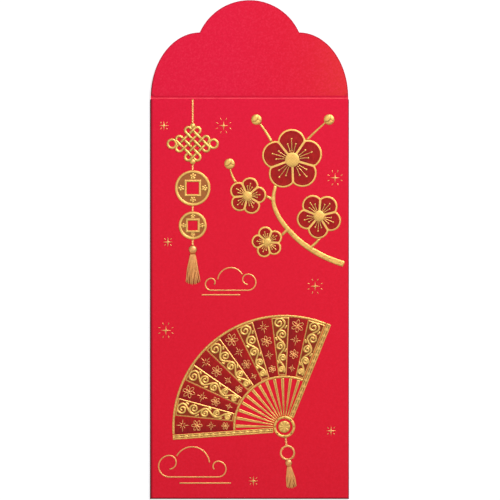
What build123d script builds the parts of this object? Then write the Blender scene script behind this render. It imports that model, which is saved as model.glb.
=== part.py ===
"""Red gift envelope with a scalloped flap, made from one die-cut sheet of red paper.

The sheet is creased, folded and glued, and its front carries a gold-foil and dark-red print.
It lies on its back with the flap open flat: X to the right, Y towards the flap, Z out of the
front. All sizes are in millimetres.
"""
import os
from math import cos, pi, radians, sin, tan

from build123d import *

os.makedirs("parts", exist_ok=True)

# Outside of the folded envelope
envelope_width = 85.0
body_height = 171.5
flap_height = 41.6

# Sheet, glue and air between the layers
paper = 0.2
glue_film = 0.05
pocket_gap = 0.35
closing_gap = 0.03

# Flap outline: two quarter-ellipse side lobes and one round middle lobe
flap_inset = 0.3
side_lobe_width = 21.0
side_lobe_height = 27.8

# Score line of the flap
score_width = 0.9
score_depth = 0.06

# Back panel and its mouth
mouth_setback = 2.0
throat_depth = 5.5
seam_setback = 0.8

# Glue tab along the right side
tab_width = 13.0
tab_taper = 4.0
tab_mouth_setback = 9.0

# Bottom flap
bottom_flap_height = 21.0
bottom_flap_inset = 0.6
bottom_flap_taper = 6.5
bottom_flap_corner = 6.0

# Glue strips, set in from the edges of the paper that they hold
side_glue_width = 8.0
side_glue_inset = 5.5
bottom_glue_height = 9.0
bottom_glue_inset = 8.0

# Print: height of the foil and of the ink, air between the two, weight of the foil lines
foil = 0.08
ink = 0.03
print_gap = 0.08
fine_line = 0.6
bold_line = 0.9

# Layers, from the surface that the envelope lies on upwards
back_under = paper + glue_film
back_over = back_under + paper
tab_under = back_over + glue_film
tab_over = tab_under + paper
front_under = tab_over + pocket_gap
front_over = front_under + paper

# Radii of the three folds, to the outside of the paper
left_fold_radius = (front_over - back_under) / 2
right_fold_radius = (front_over - tab_under) / 2
bottom_fold_radius = front_over / 2

# Places along the envelope, which is centred on the origin
half_width = envelope_width / 2
bottom_y = -(body_height + flap_height) / 2
crease_y = bottom_y + body_height

# The flap turns about a line halfway between its open and closed places
hinge_z = (front_under + back_under - closing_gap) / 2
bend_radius = front_under + paper / 2 - hinge_z
crease_width = pi * bend_radius

# Edges of the flat panels
front_left = -half_width + left_fold_radius
front_right = half_width - right_fold_radius
front_bottom = bottom_y + bottom_fold_radius
front_top = crease_y - crease_width / 2
back_right = front_right - seam_setback
back_top = front_top - mouth_setback
tab_left = front_right - tab_width
tab_top = front_top - tab_mouth_setback
flap_half_width = half_width - flap_inset
flap_root = crease_y + crease_width / 2


def panel(left, bottom, right, top, mode=Mode.ADD):
    """Rectangle between four edges, drawn in the active sketch."""
    with Locations(((left + right) / 2, (bottom + top) / 2)):
        Rectangle(right - left, top - bottom, mode=mode)


def fold_section(across, up, outer, turn):
    """Half ring of paper round a centre. With no turn it bulges to the left."""
    with Locations(Location((across, up, 0), turn)):
        Circle(outer)
        Circle(outer - paper, mode=Mode.SUBTRACT)
        Rectangle(2 * outer, 2 * outer, align=(Align.MIN, Align.CENTER), mode=Mode.SUBTRACT)


# Front of the envelope, up to the flap crease
with BuildPart() as front_panel:
    with BuildSketch(Plane.XY.offset(front_under)):
        panel(front_left, front_bottom, front_right, front_top)
    extrude(amount=paper)

# Fold along the left side, from the front panel round to the back panel
with BuildPart() as left_side_fold:
    with BuildSketch(Plane.XZ.offset(-bottom_y)):
        fold_section(front_left, (front_over + back_under) / 2, left_fold_radius, 0)
    extrude(amount=bottom_y - front_top)

# Fold along the right side, from the front panel round to the glue tab
with BuildPart() as right_side_fold:
    with BuildSketch(Plane.XZ.offset(-bottom_y)):
        fold_section(front_right, (front_over + tab_under) / 2, right_fold_radius, 180)
    extrude(amount=bottom_y - front_top)

# Back of the envelope, with a shallow throat in its top edge
with BuildPart() as back_panel:
    with BuildSketch(Plane.XY.offset(back_under)):
        with BuildLine():
            back_sides = Polyline(
                (front_left, back_top),
                (front_left, front_bottom),
                (back_right, front_bottom),
                (back_right, back_top),
            )
            SagittaArc(back_sides @ 1, back_sides @ 0, throat_depth)
        make_face()
    extrude(amount=paper)

# Tab that the back panel is glued to, inside the right side
with BuildPart() as side_glue_tab:
    with BuildSketch(Plane.XY.offset(tab_under)):
        with BuildLine():
            Polyline(
                (front_right, front_bottom),
                (front_right, tab_top),
                (tab_left, tab_top - tab_taper),
                (tab_left, front_bottom + tab_taper),
                close=True,
            )
        make_face()
    extrude(amount=paper)

# Fold along the bottom, from the front panel round to the bottom flap
with BuildPart() as bottom_fold:
    with BuildSketch(Plane.YZ.offset(front_left)):
        fold_section(front_bottom, bottom_fold_radius, bottom_fold_radius, 0)
    extrude(amount=front_right - front_left)

# Flap folded up over the foot of the back panel, with slanted sides and round corners
bottom_flap_left = front_left + bottom_flap_inset
bottom_flap_right = front_right - bottom_flap_inset
bottom_flap_top = front_bottom + bottom_flap_height
with BuildPart() as bottom_flap:
    with BuildSketch(Plane.XY):
        with BuildLine():
            Polyline(
                (bottom_flap_left, front_bottom),
                (bottom_flap_right, front_bottom),
                (bottom_flap_right - bottom_flap_taper, bottom_flap_top),
                (bottom_flap_left + bottom_flap_taper, bottom_flap_top),
                close=True,
            )
        flap_face = make_face()
        fillet(flap_face.vertices().group_by(Axis.Y)[-1], bottom_flap_corner)
    extrude(amount=paper)

# Glue between the tab and the back panel
with BuildPart() as side_seam_glue:
    with BuildSketch(Plane.XY.offset(back_over)):
        panel(
            back_right - side_glue_width,
            front_bottom + side_glue_inset,
            back_right,
            tab_top - side_glue_inset,
        )
    extrude(amount=glue_film)

# Glue between the bottom flap and the back panel
bottom_glue_top = bottom_flap_top - bottom_glue_inset / 2
with BuildPart() as bottom_seam_glue:
    with BuildSketch(Plane.XY.offset(paper)):
        panel(
            bottom_flap_left + bottom_flap_taper + bottom_glue_inset,
            bottom_glue_top - bottom_glue_height,
            bottom_flap_right - bottom_flap_taper - bottom_glue_inset,
            bottom_glue_top,
        )
    extrude(amount=glue_film)


def scored_edge(level):
    """Upper or lower side of the scored strip: flat, with a shallow round dip at the crease."""
    before = Line((front_top, level), (crease_y - score_width / 2, level))
    dip = ThreePointArc(
        before @ 1,
        (crease_y, level - score_depth),
        (crease_y + score_width / 2, level),
    )
    Line(dip @ 1, (flap_root, level))


# Scored strip that bends when the flap is folded back
with BuildPart() as flap_crease:
    with BuildSketch(Plane.YZ.offset(-flap_half_width)):
        with BuildLine():
            scored_edge(front_over)
            scored_edge(front_under)
            Line((front_top, front_under), (front_top, front_over))
            Line((flap_root, front_under), (flap_root, front_over))
        make_face()
    extrude(amount=2 * flap_half_width)

# Closing flap with its three lobes
lobe_middle = flap_half_width - side_lobe_width
with BuildPart() as top_flap:
    with BuildSketch(Plane.XY.offset(front_under)):
        with BuildLine():
            right_lobe = EllipticalCenterArc(
                (lobe_middle, crease_y), side_lobe_width, side_lobe_height, 0, arc_size=90
            )
            left_lobe = EllipticalCenterArc(
                (-lobe_middle, crease_y), side_lobe_width, side_lobe_height, 90, arc_size=90
            )
            ThreePointArc(right_lobe @ 1, (0, crease_y + flap_height), left_lobe @ 0)
            Line(left_lobe @ 1, right_lobe @ 0)
        make_face()
        panel(-half_width, crease_y, half_width, flap_root, mode=Mode.SUBTRACT)
    extrude(amount=paper)

# The print follows the smaller of the two sides of the front
print_ratio_share = 0.5
print_size = min(envelope_width, print_ratio_share * body_height)


def spot(shares):
    """Place on the front, from shares of its width (from the middle) and height (from the foot)."""
    return shares[0] * envelope_width, bottom_y + shares[1] * body_height


def print_plane(place, turn=0, level=front_over):
    """Plane on the face of the front at a place, turned about its normal."""
    across = (cos(radians(turn)), sin(radians(turn)), 0)
    return Plane(origin=(*place, level), x_dir=across, z_dir=(0, 0, 1))


def polar(radius, angle):
    """Point at a radius and an angle in degrees."""
    return radius * cos(radians(angle)), radius * sin(radians(angle))


# Folding fan in the lower half of the front
fan_place_shares = (0.175, 0.18)
fan_radius_share = 0.55
fan_leaf_share = 0.47
fan_start_angle = 68
fan_end_angle = 184
pleat_count = 12
fan_rim = 1.1
fan_hub_share = 0.1
fan_rivet_share = 0.55
guard_width = 2.2
stick_foot_share = 0.6
stick_head_share = 0.4
fan_place = spot(fan_place_shares)
fan_radius = fan_radius_share * print_size
leaf_radius = fan_leaf_share * fan_radius
hub_radius = fan_hub_share * fan_radius
pleat_angle = (fan_end_angle - fan_start_angle) / pleat_count


def fan_sector(inner, outer, start, end, gap=0):
    """Ring sector between two radii, its straight sides set in by a gap."""
    near = gap / inner * 180 / pi
    far = gap / outer * 180 / pi
    middle = (start + end) / 2
    with BuildLine() as outline:
        outer_arc = ThreePointArc(polar(outer, start + far), polar(outer, middle), polar(outer, end - far))
        inner_arc = ThreePointArc(polar(inner, start + near), polar(inner, middle), polar(inner, end - near))
        Line(outer_arc @ 0, inner_arc @ 0)
        Line(outer_arc @ 1, inner_arc @ 1)
    make_face(outline.edges())


def fan_pleats(first):
    """Every second pleat of the leaf, from the one given."""
    for pleat in range(first, pleat_count, 2):
        start = fan_start_angle + pleat * pleat_angle
        fan_sector(leaf_radius, fan_radius, start, start + pleat_angle, print_gap)


with BuildPart() as fan_gold_pleats:
    with BuildSketch(print_plane(fan_place)):
        fan_pleats(0)
    extrude(amount=foil)

with BuildPart() as fan_red_pleats:
    with BuildSketch(print_plane(fan_place)):
        fan_pleats(1)
    extrude(amount=ink)

# Foil bands along the outer and the inner edge of the leaf
with BuildPart() as fan_rims:
    with BuildSketch(print_plane(fan_place)):
        fan_sector(fan_radius + print_gap, fan_radius + fan_rim, fan_start_angle, fan_end_angle)
        fan_sector(leaf_radius - fan_rim, leaf_radius - print_gap, fan_start_angle, fan_end_angle)
    extrude(amount=foil)

# Sticks below the leaf, one under each pleat
with BuildPart() as fan_sticks:
    with BuildSketch(print_plane(fan_place)):
        stick_foot = hub_radius + print_gap
        stick_head = leaf_radius - fan_rim - print_gap
        foot_spread = stick_foot_share * pleat_angle / 2
        head_spread = stick_head_share * pleat_angle / 2
        for pleat in range(pleat_count):
            middle = fan_start_angle + (pleat + 1 / 2) * pleat_angle
            Polygon(
                polar(stick_foot, middle - foot_spread),
                polar(stick_head, middle - head_spread),
                polar(stick_head, middle + head_spread),
                polar(stick_foot, middle + foot_spread),
                align=None,
            )
    extrude(amount=foil)

# The two outer guards, from the hub to the tip of the leaf
with BuildPart() as fan_guards:
    guard_foot = hub_radius + print_gap
    guard_length = fan_radius + fan_rim - guard_foot
    for angle, side in ((fan_start_angle, -1), (fan_end_angle, 1)):
        with BuildSketch(print_plane(fan_place, angle)):
            with Locations((guard_foot + guard_length / 2, side * (print_gap + guard_width / 2))):
                Rectangle(guard_length, guard_width)
        extrude(amount=foil)

# Hub of the fan: a ring and the rivet in it
with BuildPart() as fan_hub:
    with BuildSketch(print_plane(fan_place)):
        Circle(hub_radius)
        Circle(fan_rivet_share * hub_radius + bold_line, mode=Mode.SUBTRACT)
        Circle(fan_rivet_share * hub_radius)
    extrude(amount=foil)


def tassel(top, head, skirt_length, skirt_width):
    """Tassel hanging down from a height: round head, collar and flared skirt."""
    neck = top - 2 * head
    foot = neck - skirt_length
    with Locations((0, top - head)):
        Circle(head)
    with BuildLine() as skirt:
        left_side = Spline(
            (-head / 2, neck + head / 2),
            (-skirt_width / 3, neck - skirt_length / 3),
            (-skirt_width / 2, foot),
        )
        right_side = Spline(
            (head / 2, neck + head / 2),
            (skirt_width / 3, neck - skirt_length / 3),
            (skirt_width / 2, foot),
        )
        Line(left_side @ 0, right_side @ 0)
        ThreePointArc(left_side @ 1, (0, foot - head / 2), right_side @ 1)
    make_face(skirt.edges())


def cord(top, bottom, width):
    """Straight cord between two heights."""
    panel(-width / 2, bottom, width / 2, top)


# Pendant of the fan: cord, ring and tassel, hung from the hub
pendant_lean_angle = 7
pendant_cord = 3.2
pendant_ring = 3.3
pendant_head = 1.5
pendant_skirt_length = 8.5
pendant_skirt_width = 4.4
with BuildPart() as fan_pendant:
    with BuildSketch(print_plane(fan_place, pendant_lean_angle)):
        ring_top = -hub_radius - pendant_cord
        ring_bottom = ring_top - 2 * pendant_ring
        cord(-hub_radius - print_gap, ring_top - bold_line / 2, bold_line)
        with Locations((0, ring_top - pendant_ring)):
            Circle(pendant_ring)
            Circle(pendant_ring - bold_line, mode=Mode.SUBTRACT)
        tassel(ring_bottom + bold_line / 2, pendant_head, pendant_skirt_length, pendant_skirt_width)
    extrude(amount=foil)

# Hanging string in the upper left: cord, woven knot, two coins and a tassel
string_across_share = -0.285
string_cord = 10.0
string_link = 2.4
knot_loops = 2
knot_pitch = 2.7
knot_strand = 1.2
knot_bead = 1.3
knot_ear = 2.4
upper_coin_radius = 7.6
lower_coin_radius = 6.0
coin_hole_share = 0.34
string_head = 1.8
string_skirt_length = 12.0
string_skirt_width = 6.0
string_plane = print_plane((string_across_share * envelope_width, front_top))

# Heights along the string, from the crease down
knot_corner = knot_loops * knot_pitch * 2**0.5
knot_top = -string_cord
knot_middle = knot_top - knot_bead - knot_corner
knot_bottom = knot_middle - knot_corner - knot_bead
upper_coin_top = knot_bottom - string_link
upper_coin_middle = upper_coin_top - upper_coin_radius
upper_coin_bottom = upper_coin_middle - upper_coin_radius
lower_coin_top = upper_coin_bottom - string_link
lower_coin_middle = lower_coin_top - lower_coin_radius
lower_coin_bottom = lower_coin_middle - lower_coin_radius
string_tassel_top = lower_coin_bottom - string_link

with BuildPart() as string_cords:
    with BuildSketch(string_plane):
        cord(0, knot_top + print_gap, bold_line)
        cord(knot_bottom - print_gap, upper_coin_top + print_gap, bold_line)
        cord(upper_coin_bottom - print_gap, lower_coin_top + print_gap, bold_line)
        cord(lower_coin_bottom - print_gap, string_tassel_top + print_gap, bold_line)
    extrude(amount=foil)

# Knot of crossing loops, with a bead above and below it and an ear at each side
with BuildPart() as woven_knot:
    with BuildSketch(Plane.XY, mode=Mode.PRIVATE) as knot_loop:
        loop_length = 2 * knot_loops * knot_pitch
        SlotCenterToCenter(loop_length, knot_pitch + knot_strand)
        SlotCenterToCenter(loop_length, knot_pitch - knot_strand, mode=Mode.SUBTRACT)
    with BuildSketch(Plane.XY, mode=Mode.PRIVATE) as knot_ring:
        Circle(knot_ear)
        Circle(knot_ear - knot_strand, mode=Mode.SUBTRACT)
    with BuildSketch(string_plane):
        for turn in (45, 135):
            for loop in range(knot_loops):
                aside = (2 * loop - knot_loops + 1) * knot_pitch
                with Locations(Location((0, knot_middle, 0), turn)):
                    with Locations((0, aside)):
                        add(knot_loop.sketch)
        for side in (-1, 1):
            with Locations((side * (knot_corner + knot_ear - knot_strand), knot_middle)):
                add(knot_ring.sketch)
            with Locations((0, knot_middle + side * knot_corner)):
                Circle(knot_bead)
    extrude(amount=foil)


def coin(middle, radius):
    """Round coin with a square hole."""
    hole = coin_hole_share * radius * 2
    with BuildSketch(string_plane) as field:
        with Locations((0, middle)):
            Circle(radius)
            Rectangle(hole, hole, mode=Mode.SUBTRACT)
    extrude(field.sketch, amount=foil)


with BuildPart() as upper_coin:
    coin(upper_coin_middle, upper_coin_radius)

with BuildPart() as lower_coin:
    coin(lower_coin_middle, lower_coin_radius)

with BuildPart() as string_tassel:
    with BuildSketch(string_plane):
        tassel(string_tassel_top, string_head, string_skirt_length, string_skirt_width)
    extrude(amount=foil)

# Plum branch with its blossoms and buds in the upper right
petal_count = 5
petal_offset_share = 0.54
petal_radius_share = 0.46
blossom_eye_share = 0.22
blossom_place_shares = ((0.215, 0.845), (0.35, 0.705), (-0.01, 0.755), (0.09, 0.64))
blossom_radius_shares = (0.155, 0.115, 0.095, 0.08)
blossom_turns = (20, 50, 5, 32)
blossom_places = [spot(shares) for shares in blossom_place_shares]
blossom_radii = [share * print_size for share in blossom_radius_shares]
blossoms = list(zip(blossom_places, blossom_radii, blossom_turns))


def blossom_outline(radius, turn, margin, mode=Mode.ADD):
    """Five round petals and the middle between them, drawn in the active sketch."""
    Circle(petal_offset_share * radius, mode=mode)
    with PolarLocations(petal_offset_share * radius, petal_count, start_angle=turn):
        Circle(petal_radius_share * radius + margin, mode=mode)


# Foil ground of each blossom, which shows as a line round the petals
with BuildPart() as blossom_grounds:
    for place, radius, turn in blossoms:
        with BuildSketch(print_plane(place)):
            blossom_outline(radius, turn, 0)
        extrude(amount=foil)

# Petals printed on the foil, each inside its own fifth of the blossom
with BuildPart() as blossom_petals:
    half_angle = pi / petal_count
    apex = fine_line / 2 / sin(half_angle)
    for place, radius, turn in blossoms:
        reach = 2 * radius
        spread = (reach - apex) * tan(half_angle)
        with BuildSketch(Plane.XY, mode=Mode.PRIVATE) as petal:
            with Locations((petal_offset_share * radius, 0)):
                Circle(petal_radius_share * radius - fine_line)
            Polygon((apex, 0), (reach, -spread), (reach, spread), align=None, mode=Mode.INTERSECT)
            Circle(blossom_eye_share * radius, mode=Mode.SUBTRACT)
        with BuildSketch(print_plane(place, level=front_over + foil)):
            with PolarLocations(0, petal_count, start_angle=turn):
                add(petal.sketch)
        extrude(amount=ink)

branch_root = 2.6
branch_tip = 0.8
twig_root = 1.3
twig_tip = 0.7
bud_radius = 2.3
branch_shares = (
    (0.475, 0.585),
    (0.3, 0.625),
    (0.18, 0.68),
    (0.12, 0.745),
    (0.15, 0.82),
    (0.1, 0.9),
    (0.035, 0.945),
)
twig_shares = (
    ((0.3, 0.625), (0.36, 0.66), (0.35, 0.705)),
    ((0.19, 0.672), (0.14, 0.65), (0.09, 0.64)),
    ((0.12, 0.745), (0.06, 0.757), (-0.01, 0.755)),
    ((0.13, 0.79), (0.3, 0.9), (0.4, 0.945)),
    ((0.0, 0.76), (-0.07, 0.79), (-0.1, 0.835)),
)
bud_place_shares = ((0.035, 0.945), (0.4, 0.945), (-0.1, 0.835))
bud_places = [spot(shares) for shares in bud_place_shares]


def ribbon(shares, root, tip):
    """Band that tapers along a row of places, drawn in the active sketch."""
    places = [Vector(*spot(pair)) for pair in shares]
    left = []
    right = []
    for index, place in enumerate(places):
        ahead = places[min(index + 1, len(places) - 1)] - places[max(index - 1, 0)]
        half = (root + (tip - root) * index / (len(places) - 1)) / 2
        aside = Vector(-ahead.Y, ahead.X).normalized() * half
        left.append(place + aside)
        right.append(place - aside)
    with BuildLine() as outline:
        left_side = Spline(*left)
        right_side = Spline(*right)
        Line(left_side @ 0, right_side @ 0)
        Line(left_side @ 1, right_side @ 1)
    make_face(outline.edges())


with BuildPart() as plum_branch:
    with BuildSketch(print_plane((0, 0))):
        ribbon(branch_shares, branch_root, branch_tip)
        for shares in twig_shares:
            ribbon(shares, twig_root, twig_tip)
        for place, radius, turn in blossoms:
            with Locations(place):
                blossom_outline(radius, turn, print_gap, mode=Mode.SUBTRACT)
        with Locations(*bud_places):
            Circle(bud_radius + print_gap, mode=Mode.SUBTRACT)
    extrude(amount=foil)

with BuildPart() as plum_buds:
    with BuildSketch(print_plane((0, 0))):
        with Locations(*bud_places):
            Circle(bud_radius)
    extrude(amount=foil)

# Cloud scrolls: place, width and side that the large curl is on
cloud_place_shares = ((-0.28, 0.055), (-0.1, 0.52))
cloud_width_shares = (0.36, 0.27)
cloud_sides = (1, -1)
curl_shares = (0.15, 0.095)
curl_turns = (180, 180)
small_curl_shares = (0.11, 0.07)
small_curl_turns = (180, 130)
crown_shares = ((-0.24, 0.29), (-0.04, 0.42), (0.22, 0.2))
cloud_foot_share = 0.34
cloud_tail_shares = ((-0.2, -0.085), (0.52, -0.085))


def curl(start, heading, radii, turns, side):
    """Line that curls inwards in arcs of falling radius, traced in the active sketch."""
    with BuildLine() as spiral:
        arc = JernArc(start, (heading, 0), radii[0], side * turns[0])
        for radius, turn in zip(radii[1:], turns[1:]):
            arc = JernArc(arc @ 1, arc % 1, radius, side * turn)
    trace(spiral.edges(), fine_line)


def cloud(width, side):
    """Cloud of two curls, a crown between them and two foot lines."""
    foot = cloud_foot_share * width
    curl((-side * foot, 0), -side, [share * width for share in curl_shares], curl_turns, -side)
    curl((side * foot, 0), side, [share * width for share in small_curl_shares], small_curl_turns, side)
    with BuildLine() as crown:
        ThreePointArc(*[(side * across * width, up * width) for across, up in crown_shares])
    trace(crown.edges(), fine_line)
    with BuildLine() as lines:
        Line((-foot, 0), (foot, 0))
        Line(*[(side * across * width, up * width) for across, up in cloud_tail_shares])
    trace(lines.edges(), fine_line)


with BuildPart() as cloud_scrolls:
    for shares, width_share, side in zip(cloud_place_shares, cloud_width_shares, cloud_sides):
        with BuildSketch(print_plane(spot(shares))):
            cloud(width_share * print_size, side)
        extrude(amount=foil)

# Four-pointed sparkles scattered between the motifs
sparkle_place_shares = (
    (-0.43, 0.93),
    (-0.13, 0.93),
    (-0.41, 0.64),
    (0.43, 0.8),
    (0.41, 0.17),
    (-0.42, 0.42),
    (0.33, 0.53),
    (0.02, 0.045),
)
sparkle_reach = 2.2
sparkle_waist_share = 0.22
with BuildPart() as sparkles:
    with BuildSketch(print_plane((0, 0))):
        waist = sparkle_waist_share * sparkle_reach
        star = [polar(sparkle_reach if point % 2 == 0 else waist, 45 * point) for point in range(8)]
        with Locations(*[spot(shares) for shares in sparkle_place_shares]):
            Polygon(*star, align=None)
    extrude(amount=foil)

pieces = {
    "front_panel": front_panel,
    "left_side_fold": left_side_fold,
    "right_side_fold": right_side_fold,
    "back_panel": back_panel,
    "side_glue_tab": side_glue_tab,
    "bottom_fold": bottom_fold,
    "bottom_flap": bottom_flap,
    "side_seam_glue": side_seam_glue,
    "bottom_seam_glue": bottom_seam_glue,
    "flap_crease": flap_crease,
    "top_flap": top_flap,
    "fan_gold_pleats": fan_gold_pleats,
    "fan_red_pleats": fan_red_pleats,
    "fan_rims": fan_rims,
    "fan_sticks": fan_sticks,
    "fan_guards": fan_guards,
    "fan_hub": fan_hub,
    "fan_pendant": fan_pendant,
    "string_cords": string_cords,
    "woven_knot": woven_knot,
    "upper_coin": upper_coin,
    "lower_coin": lower_coin,
    "string_tassel": string_tassel,
    "blossom_grounds": blossom_grounds,
    "blossom_petals": blossom_petals,
    "plum_branch": plum_branch,
    "plum_buds": plum_buds,
    "cloud_scrolls": cloud_scrolls,
    "sparkles": sparkles,
}
for name, piece in pieces.items():
    piece.part.label = name
    export_step(piece.part, f"parts/{name}.step")
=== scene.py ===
"""Looks of the red envelope: paper, crease and the gold-foil print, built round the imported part.

Lengths are millimetres, and metres once they are multiplied by MM. Noise scales are per metre.
"""

import math

import bpy
import numpy as np
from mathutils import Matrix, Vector, geometry


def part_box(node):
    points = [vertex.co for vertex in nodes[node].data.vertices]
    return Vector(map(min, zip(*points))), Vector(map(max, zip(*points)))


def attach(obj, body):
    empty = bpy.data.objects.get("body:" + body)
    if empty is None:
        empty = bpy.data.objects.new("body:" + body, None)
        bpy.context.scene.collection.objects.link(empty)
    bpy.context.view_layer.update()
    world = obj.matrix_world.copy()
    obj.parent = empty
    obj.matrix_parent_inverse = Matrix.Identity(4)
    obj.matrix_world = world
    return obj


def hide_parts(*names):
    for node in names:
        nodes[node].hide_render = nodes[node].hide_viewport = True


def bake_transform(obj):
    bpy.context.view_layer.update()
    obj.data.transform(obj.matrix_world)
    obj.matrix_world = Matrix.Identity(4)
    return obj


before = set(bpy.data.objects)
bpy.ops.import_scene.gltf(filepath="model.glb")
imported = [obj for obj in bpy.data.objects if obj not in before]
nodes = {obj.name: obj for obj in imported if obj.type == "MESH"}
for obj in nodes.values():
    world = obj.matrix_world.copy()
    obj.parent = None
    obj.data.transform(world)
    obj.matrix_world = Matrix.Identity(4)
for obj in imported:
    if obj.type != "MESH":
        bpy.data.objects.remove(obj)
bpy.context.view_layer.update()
MM = 0.001
TURN = 2 * math.pi


def box_mm(node):
    """Lowest and highest corner of a CAD node."""
    low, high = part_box(node)
    return np.array(low) / MM, np.array(high) / MM


def middle_half(node):
    """Middle of a CAD node, seen from the front, and its half width and half height."""
    low, high = box_mm(node)
    return (low[:2] + high[:2]) / 2, (high[:2] - low[:2]) / 2


# Sizes and places from the frame
front_low, front_high = box_mm("front_panel")
crease_low, crease_high = box_mm("flap_crease")
flap_low = box_mm("top_flap")[0]
sheet_z = front_high[2]
paper = front_high[2] - front_low[2]
crease_y = (crease_low[1] + crease_high[1]) / 2
panel_middle, panel_half = middle_half("front_panel")
pivot, hub_half = middle_half("fan_hub")
hub_radius = hub_half[0]

# Front panel: how far it swells over its flat CAD face, how unevenly, and the pace of its waves
fullness, unevenness = 0.22, 0.04
wave_x, wave_y = 0.09, 0.05

# Crease: depth and half width of the score, then place, half width and strength of its two lines, a
# painted shade line above the crease and a line of wear and painted highlight below it
score_depth, score_half = 0.07, 0.5
shade_line_offset, shade_line_half, shade_line_share = 0.45, 0.75, 0.17
wear_highlight_offset, wear_highlight_half, wear_highlight_share = -0.30, 0.36, 0.85

# Painted shade on the edges of the sheet: width and strength along the left fold, the cut and the flap's
# root
painted_fold_shade_width, painted_fold_shade_share = 0.9, 0.66
cut_width, cut_share = 0.5, 0.6
root_width, root_share = 1.4, 0.05

# Left side of the flap: how far in its band of painted shade starts and is full, its width and strength
left_reach, left_run = 2.6, 2.2
left_width, left_share, left_full_share = 0.6, 0.93, 1.25

# Cut edge of the flap, pressed down a little
press_width, press_depth = 0.3, 0.05

# Print: how far it starts inside the sheet, and the usual width of its rounded edges
sink = 0.03
soft_edge = 0.3


# Materials


def new_material(name):
    """Material with a Principled shader, and its node tree."""
    material = bpy.data.materials.new(name)
    material.use_nodes = True
    tree = material.node_tree
    return material, tree, tree.nodes["Principled BSDF"]


def set_values(node, **values):
    """Sets properties of a node, or inputs where the name is one of those."""
    for key, value in values.items():
        if hasattr(node, key):
            setattr(node, key, value)
        else:
            node.inputs[key.replace("_", " ")].default_value = value


def add(tree, kind, **values):
    """New node with values."""
    node = tree.nodes.new(kind)
    set_values(node, **values)
    return node


def noise(tree, scale, detail=3.0, source=None):
    """Noise over object coordinates, or over a vector that is given."""
    node = add(tree, "ShaderNodeTexNoise", Scale=scale, Detail=detail, Roughness=0.55)
    if source is None:
        source = add(tree, "ShaderNodeTexCoord").outputs["Object"]
    tree.links.new(source, node.inputs["Vector"])
    return node.outputs["Fac"]


def place_of(tree, kind="Object"):
    """The x, y and z of a coordinate of one kind."""
    split = tree.nodes.new("ShaderNodeSeparateXYZ")
    tree.links.new(add(tree, "ShaderNodeTexCoord").outputs[kind], split.inputs[0])
    return split.outputs


def grey(value):
    """Colour without a hue."""
    return (value,) * 3


def ramp(tree, source, stops):
    """Colour ramp from (place, colour) stops."""
    node = tree.nodes.new("ShaderNodeValToRGB")
    elements = node.color_ramp.elements
    while len(elements) < len(stops):
        elements.new(0.5)
    for element, (place, colour) in zip(elements, stops):
        element.position = place
        element.color = (*colour, 1.0)
    tree.links.new(source, node.inputs["Fac"])
    return node.outputs["Color"]


def mix(tree, share, first, second, blend="MIX"):
    """Mix of two colours. Each of the three is a socket or a plain value."""
    node = tree.nodes.new("ShaderNodeMix")
    node.data_type = "RGBA"
    node.blend_type = blend
    for index, value in ((0, share), (6, first), (7, second)):
        if isinstance(value, bpy.types.NodeSocket):
            tree.links.new(value, node.inputs[index])
        elif index == 0:
            node.inputs[0].default_value = value
        else:
            node.inputs[index].default_value = (*value, 1.0)
    return node.outputs[2]


def math_node(tree, operation, first, second=0.0):
    """Scalar sum. Each of the two is a socket or a plain value."""
    node = tree.nodes.new("ShaderNodeMath")
    node.operation = operation
    for socket, value in zip(node.inputs, (first, second)):
        if isinstance(value, bpy.types.NodeSocket):
            tree.links.new(value, socket)
        else:
            socket.default_value = value
    return node.outputs[0]


def bump(tree, shader, height, strength, distance):
    """Bump on a shader's normal."""
    node = add(tree, "ShaderNodeBump", Strength=strength, Distance=distance)
    tree.links.new(height, node.inputs["Height"])
    tree.links.new(node.outputs["Normal"], shader.inputs["Normal"])


def hollow_value(tree):
    """Share of shade that a piece's points carry."""
    return add(tree, "ShaderNodeAttribute", attribute_name="hollow").outputs["Fac"]


def band(tree, place, middle, half):
    """Peak that falls off in a straight line on both sides of a place."""
    offset = math_node(tree, "ABSOLUTE", math_node(tree, "SUBTRACT", place, middle))
    fall = math_node(tree, "SUBTRACT", 1.0, math_node(tree, "DIVIDE", offset, half))
    return math_node(tree, "MAXIMUM", fall, 0.0)


def tinted(tree, colour, place, low, high, stops):
    """Colour times a tint that changes from a low place to a high one."""
    share = add(tree, "ShaderNodeMapRange", From_Min=low * MM, From_Max=high * MM)
    tree.links.new(place, share.inputs["Value"])
    return mix(tree, 1.0, colour, ramp(tree, share.outputs[0], stops), "MULTIPLY")


RED = (0.624, 0.0057, 0.0222)
RED_DEEP = (0.599, 0.0047, 0.0200)
RED_LIGHT = (0.646, 0.0069, 0.0250)
RED_SHADE = (0.075, 0.002, 0.004)
RED_PEARL = (0.715, 0.0240, 0.0560)
RED_WEAR_HIGHLIGHT = (0.84, 0.075, 0.095)
GOLD_TONE = (0.81, 0.495, 0.130)
ROSE_TONE = (0.86, 0.435, 0.148)
FOIL_HOLLOW = (0.26, 0.036, 0.016)
INK_DEEP = (0.265, 0.0038, 0.0028)
INK_LIGHT = (0.375, 0.0070, 0.0052)
INK_HOLLOW = (0.10, 0.002, 0.005)
GLUE_DEEP = (0.62, 0.55, 0.42)
GLUE_PALE = (0.80, 0.75, 0.62)

# Painted light: tints of the red from the foot to the crease, warmer and darker at the foot and cooler at
# the top, and a painted warm sheen from left to right on the flap
PAPER_PAINTED_LIGHT = (
    (0.00, (0.970, 1.00, 0.85)),
    (0.20, (1.015, 1.00, 0.86)),
    (0.70, (1.020, 1.00, 0.99)),
    (1.00, (1.015, 0.78, 1.27)),
)
FLAP_PAINTED_SHEEN = (
    (0.40, (1.000, 1.11, 1.08)),
    (0.66, (0.990, 1.28, 0.89)),
    (0.81, (0.985, 2.00, 0.84)),
    (1.00, (0.985, 4.70, 0.80)),
)

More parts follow.
